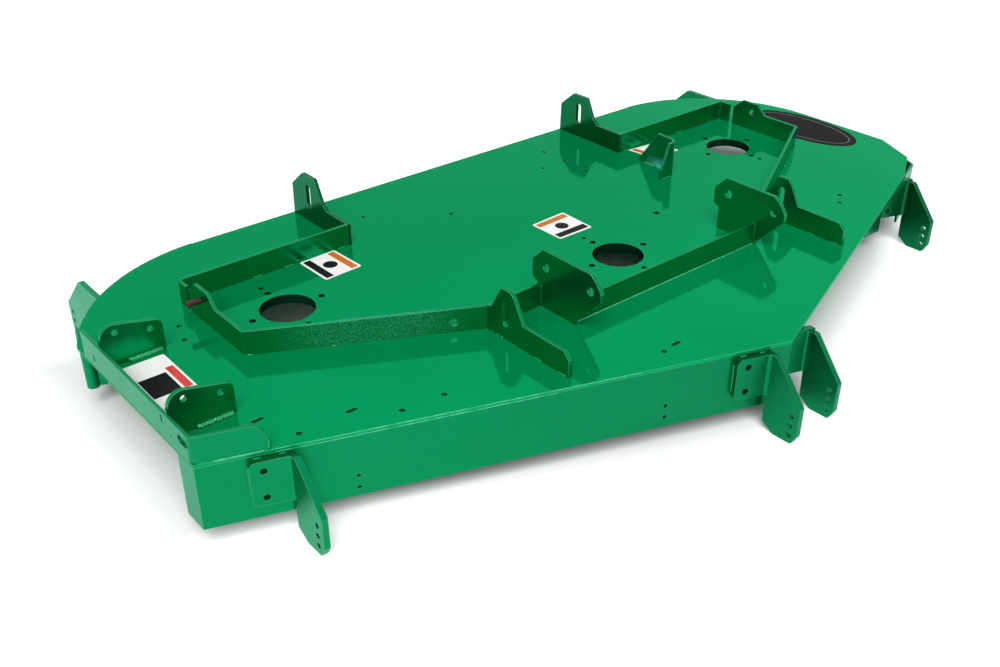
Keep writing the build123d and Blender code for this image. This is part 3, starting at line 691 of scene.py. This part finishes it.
def foot_stitches(name, start, end, shares):
    """Short beads along a plate's foot, between shares of the way from start to end."""
    start, end = Vector((*start, FOOT_Z)), Vector((*end, FOOT_Z))
    for index, (first, last) in enumerate(shares):
        weld_bead(f"{name}_{index + 1}", start.lerp(end, first), start.lerp(end, last), STITCH_RADIUS)


def upright_bead(name, x, y, heights, radius=1.8):
    """Bead up a seam between two heights."""
    low, high = heights
    weld_bead(name, (x, y, low), (x, y, high), radius)


def front_bead(name, ends, z, radius, ripple=0.06):
    """Bead along the deck's front edge between two places across the deck, in seam paint with a pale painted
    highlight.
    """
    start, end = [(x, front_y(x), z) for x in ends]
    weld_bead(name, start, end, radius, ripple, seam_highlight_green)


for name in ("chute_ear_rear", "chute_ear_front"):
    ear_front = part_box(name)[0][1] / MM
    start, end = [(x, ear_front, EAR_WELD_Z) for x in EAR_WELD_ENDS]
    weld_bead(f"{name}_weld", start, end, radius=6.0, ripple=0.05, material=ear_bead_green)

rail_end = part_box("discharge_rail")[1][0] / MM
seam_start = rail_end + RAIL_GAP
front_bead("rail_front_weld", RAIL_WELD_ENDS, z=0.3, radius=1.5)
upright_bead("rail_end_weld", rail_end, front_y(rail_end) + HALF_RAIL, RAIL_SEAM, radius=2.4)
front_bead("front_seam_weld", (seam_start, FRONT_SEAM_END), z=-5.2, radius=0.8, ripple=0.03)
# Not a weld: a thin pale bead along the plate's top front edge is a painted highlight of its rounded edge
front_bead("front_edge_line", (seam_start, FRONT_LINE_END), z=-0.7, radius=0.7, ripple=0.03)
start, end = [(x, CROSS_RIB_FACE, FOOT_Z) for x in CROSS_WELD_ENDS]
weld_bead("cross_rib_weld", start, end, radius=1.2, ripple=0.05, material=seam_highlight_green)

for side, half in ((-1, "right"), (1, "left")):
    upright_bead(f"{half}_cross_seam", side * ARM_INNER, CROSS_RIB_FACE, RIB_SEAM)
    upright_bead(f"{half}_link_arm_seam", side * ARM_OUTER, LINK_FACE, RIB_SEAM)
    upright_bead(f"{half}_link_hanger_seam", side * HANGER_INNER, LINK_FACE, RIB_SEAM)
    rear_rib_foot = [(side * x, y) for x, y in REAR_RIB_FOOT]
    foot_stitches(f"{half}_rear_rib_weld", *rear_rib_foot, REAR_RIB_STITCHES)
    side_rib_foot = [(side * x, y) for x, y in SIDE_RIB_FOOT]
    foot_stitches(f"{half}_side_rib_weld", *side_rib_foot, SIDE_RIB_STITCHES)
    hanger_foot = [(side * FRONT_HANGER_X - HALF_PLATE, y) for y in FRONT_HANGER_ENDS]
    foot_stitches(f"{half}_front_hanger_weld", *hanger_foot, FRONT_HANGER_STITCHES)

foot_stitches("tab_front_weld", *TAB_FRONT_FOOT, TAB_FRONT_STITCHES)
foot_stitches("tab_side_weld", *TAB_SIDE_FOOT, TAB_SIDE_STITCHES)
weld_bead("tab_inner_weld", *TAB_INNER_FOOT, radius=3.0, ripple=0.05, material=ear_bead_green)

# Stitches round the flanges on the front wall, upright beads where the rear arms meet the round ends
flange_run = Vector((cos(FRONT_ANGLE), -sin(FRONT_ANGLE), 0)) * FLANGE_LENGTH
for place, x in FLANGES:
    corner = Vector((x, front_y(x), FLANGE_TOP))
    for index, (first, last) in enumerate(FLANGE_STITCHES):
        start, end = corner - flange_run * first, corner - flange_run * last
        weld_bead(f"{place}_flange_top_{index + 1}", start, end, STITCH_RADIUS)
    edge = corner - flange_run
    upright_bead(f"{place}_flange_edge", edge.x, edge.y, FLANGE_EDGE, radius=1.3)
for half, side, middle_y, end_radius in ROUND_ENDS:
    for face, offset in (("a", -HALF_BRACKET), ("b", HALF_BRACKET)):
        x = side * REAR_ARM_X + offset
        y = middle_y + (end_radius ** 2 - (abs(x) - SPINDLE_X) ** 2) ** 0.5
        upright_bead(f"{half}_rear_arm_weld_{face}", x, y, REAR_ARM_SEAM, radius=2.6)


# Studio

def wide_sun(name, towards, width, strength, mirrored=True):
    """A broad soft light, the same all over the floor, seen in the gloss if mirrored."""
    lamp = bpy.data.lights.new(name, "SUN")
    lamp.angle = radians(width)
    lamp.energy = strength
    holder = bpy.data.objects.new(name, lamp)
    holder.rotation_euler = (-Vector(towards)).to_track_quat("-Z", "Y").to_euler()
    holder.visible_glossy = mirrored
    bpy.context.scene.collection.objects.link(holder)


def white_world():
    """White for the camera and in reflections, dimmer as light."""
    world = bpy.data.worlds.new("white_world")
    world.use_nodes = True
    tree = world.node_tree
    background = tree.nodes["Background"]
    background.inputs["Color"].default_value = (1, 1, 1, 1)
    strength = tree.nodes.new("ShaderNodeMapRange")
    strength.inputs["To Min"].default_value = WORLD_LIGHT
    strength.inputs["To Max"].default_value = 1.0
    tree.links.new(seen_rays(tree), strength.inputs["Value"])
    tree.links.new(strength.outputs["Result"], background.inputs["Strength"])
    bpy.context.scene.world = world


white_world()
wide_sun("soft_key", towards=(-0.55, -0.65, 1.0), width=46, strength=3.1, mirrored=False)
wide_sun("spark", towards=(-0.9, -0.8, 2.0), width=9, strength=0.25)

floor_builder = bmesh.new()
bmesh.ops.create_grid(floor_builder, x_segments=1, y_segments=1, size=FLOOR_REACH)
bmesh.ops.translate(floor_builder, verts=floor_builder.verts, vec=(0, 0, FLOOR_Z))
floor_mesh = bpy.data.meshes.new("studio_floor")
floor_builder.to_mesh(floor_mesh)
floor_builder.free()
floor_mesh.materials.append(floor_white())
studio_floor = bpy.data.objects.new("studio_floor", floor_mesh)
bpy.context.scene.collection.objects.link(studio_floor)


def photo_camera(place, azimuth, elevation, roll, lens, shift):
    """Camera at the photograph's place: azimuth turns about +Z from the view along +Y."""
    turn, lift = radians(azimuth), radians(elevation)
    right = Vector((cos(turn), sin(turn), 0))
    up = Vector((-sin(turn) * sin(lift), cos(turn) * sin(lift), cos(lift)))
    back = Vector((sin(turn) * cos(lift), -cos(turn) * cos(lift), sin(lift)))
    tilt = radians(roll)
    tilted_right = cos(tilt) * right + sin(tilt) * up
    tilted_up = cos(tilt) * up - sin(tilt) * right
    axes = Matrix((tilted_right, tilted_up, back)).transposed().to_4x4()
    data = bpy.data.cameras.new("photo_camera")
    data.sensor_width = 36.0
    data.lens = lens
    data.shift_x, data.shift_y = shift
    data.clip_end = 60.0
    camera = bpy.data.objects.new("photo_camera", data)
    camera.matrix_world = Matrix.Translation(place) @ axes
    bpy.context.scene.collection.objects.link(camera)
    bpy.context.scene.camera = camera


photo_camera(place=(-1.19863, -1.12112, 0.83471), azimuth=-40.27, elevation=31.20, roll=0.23,
             lens=39.997, shift=(-0.00226, 0.0))
bpy.context.scene.view_settings.view_transform = "Standard"
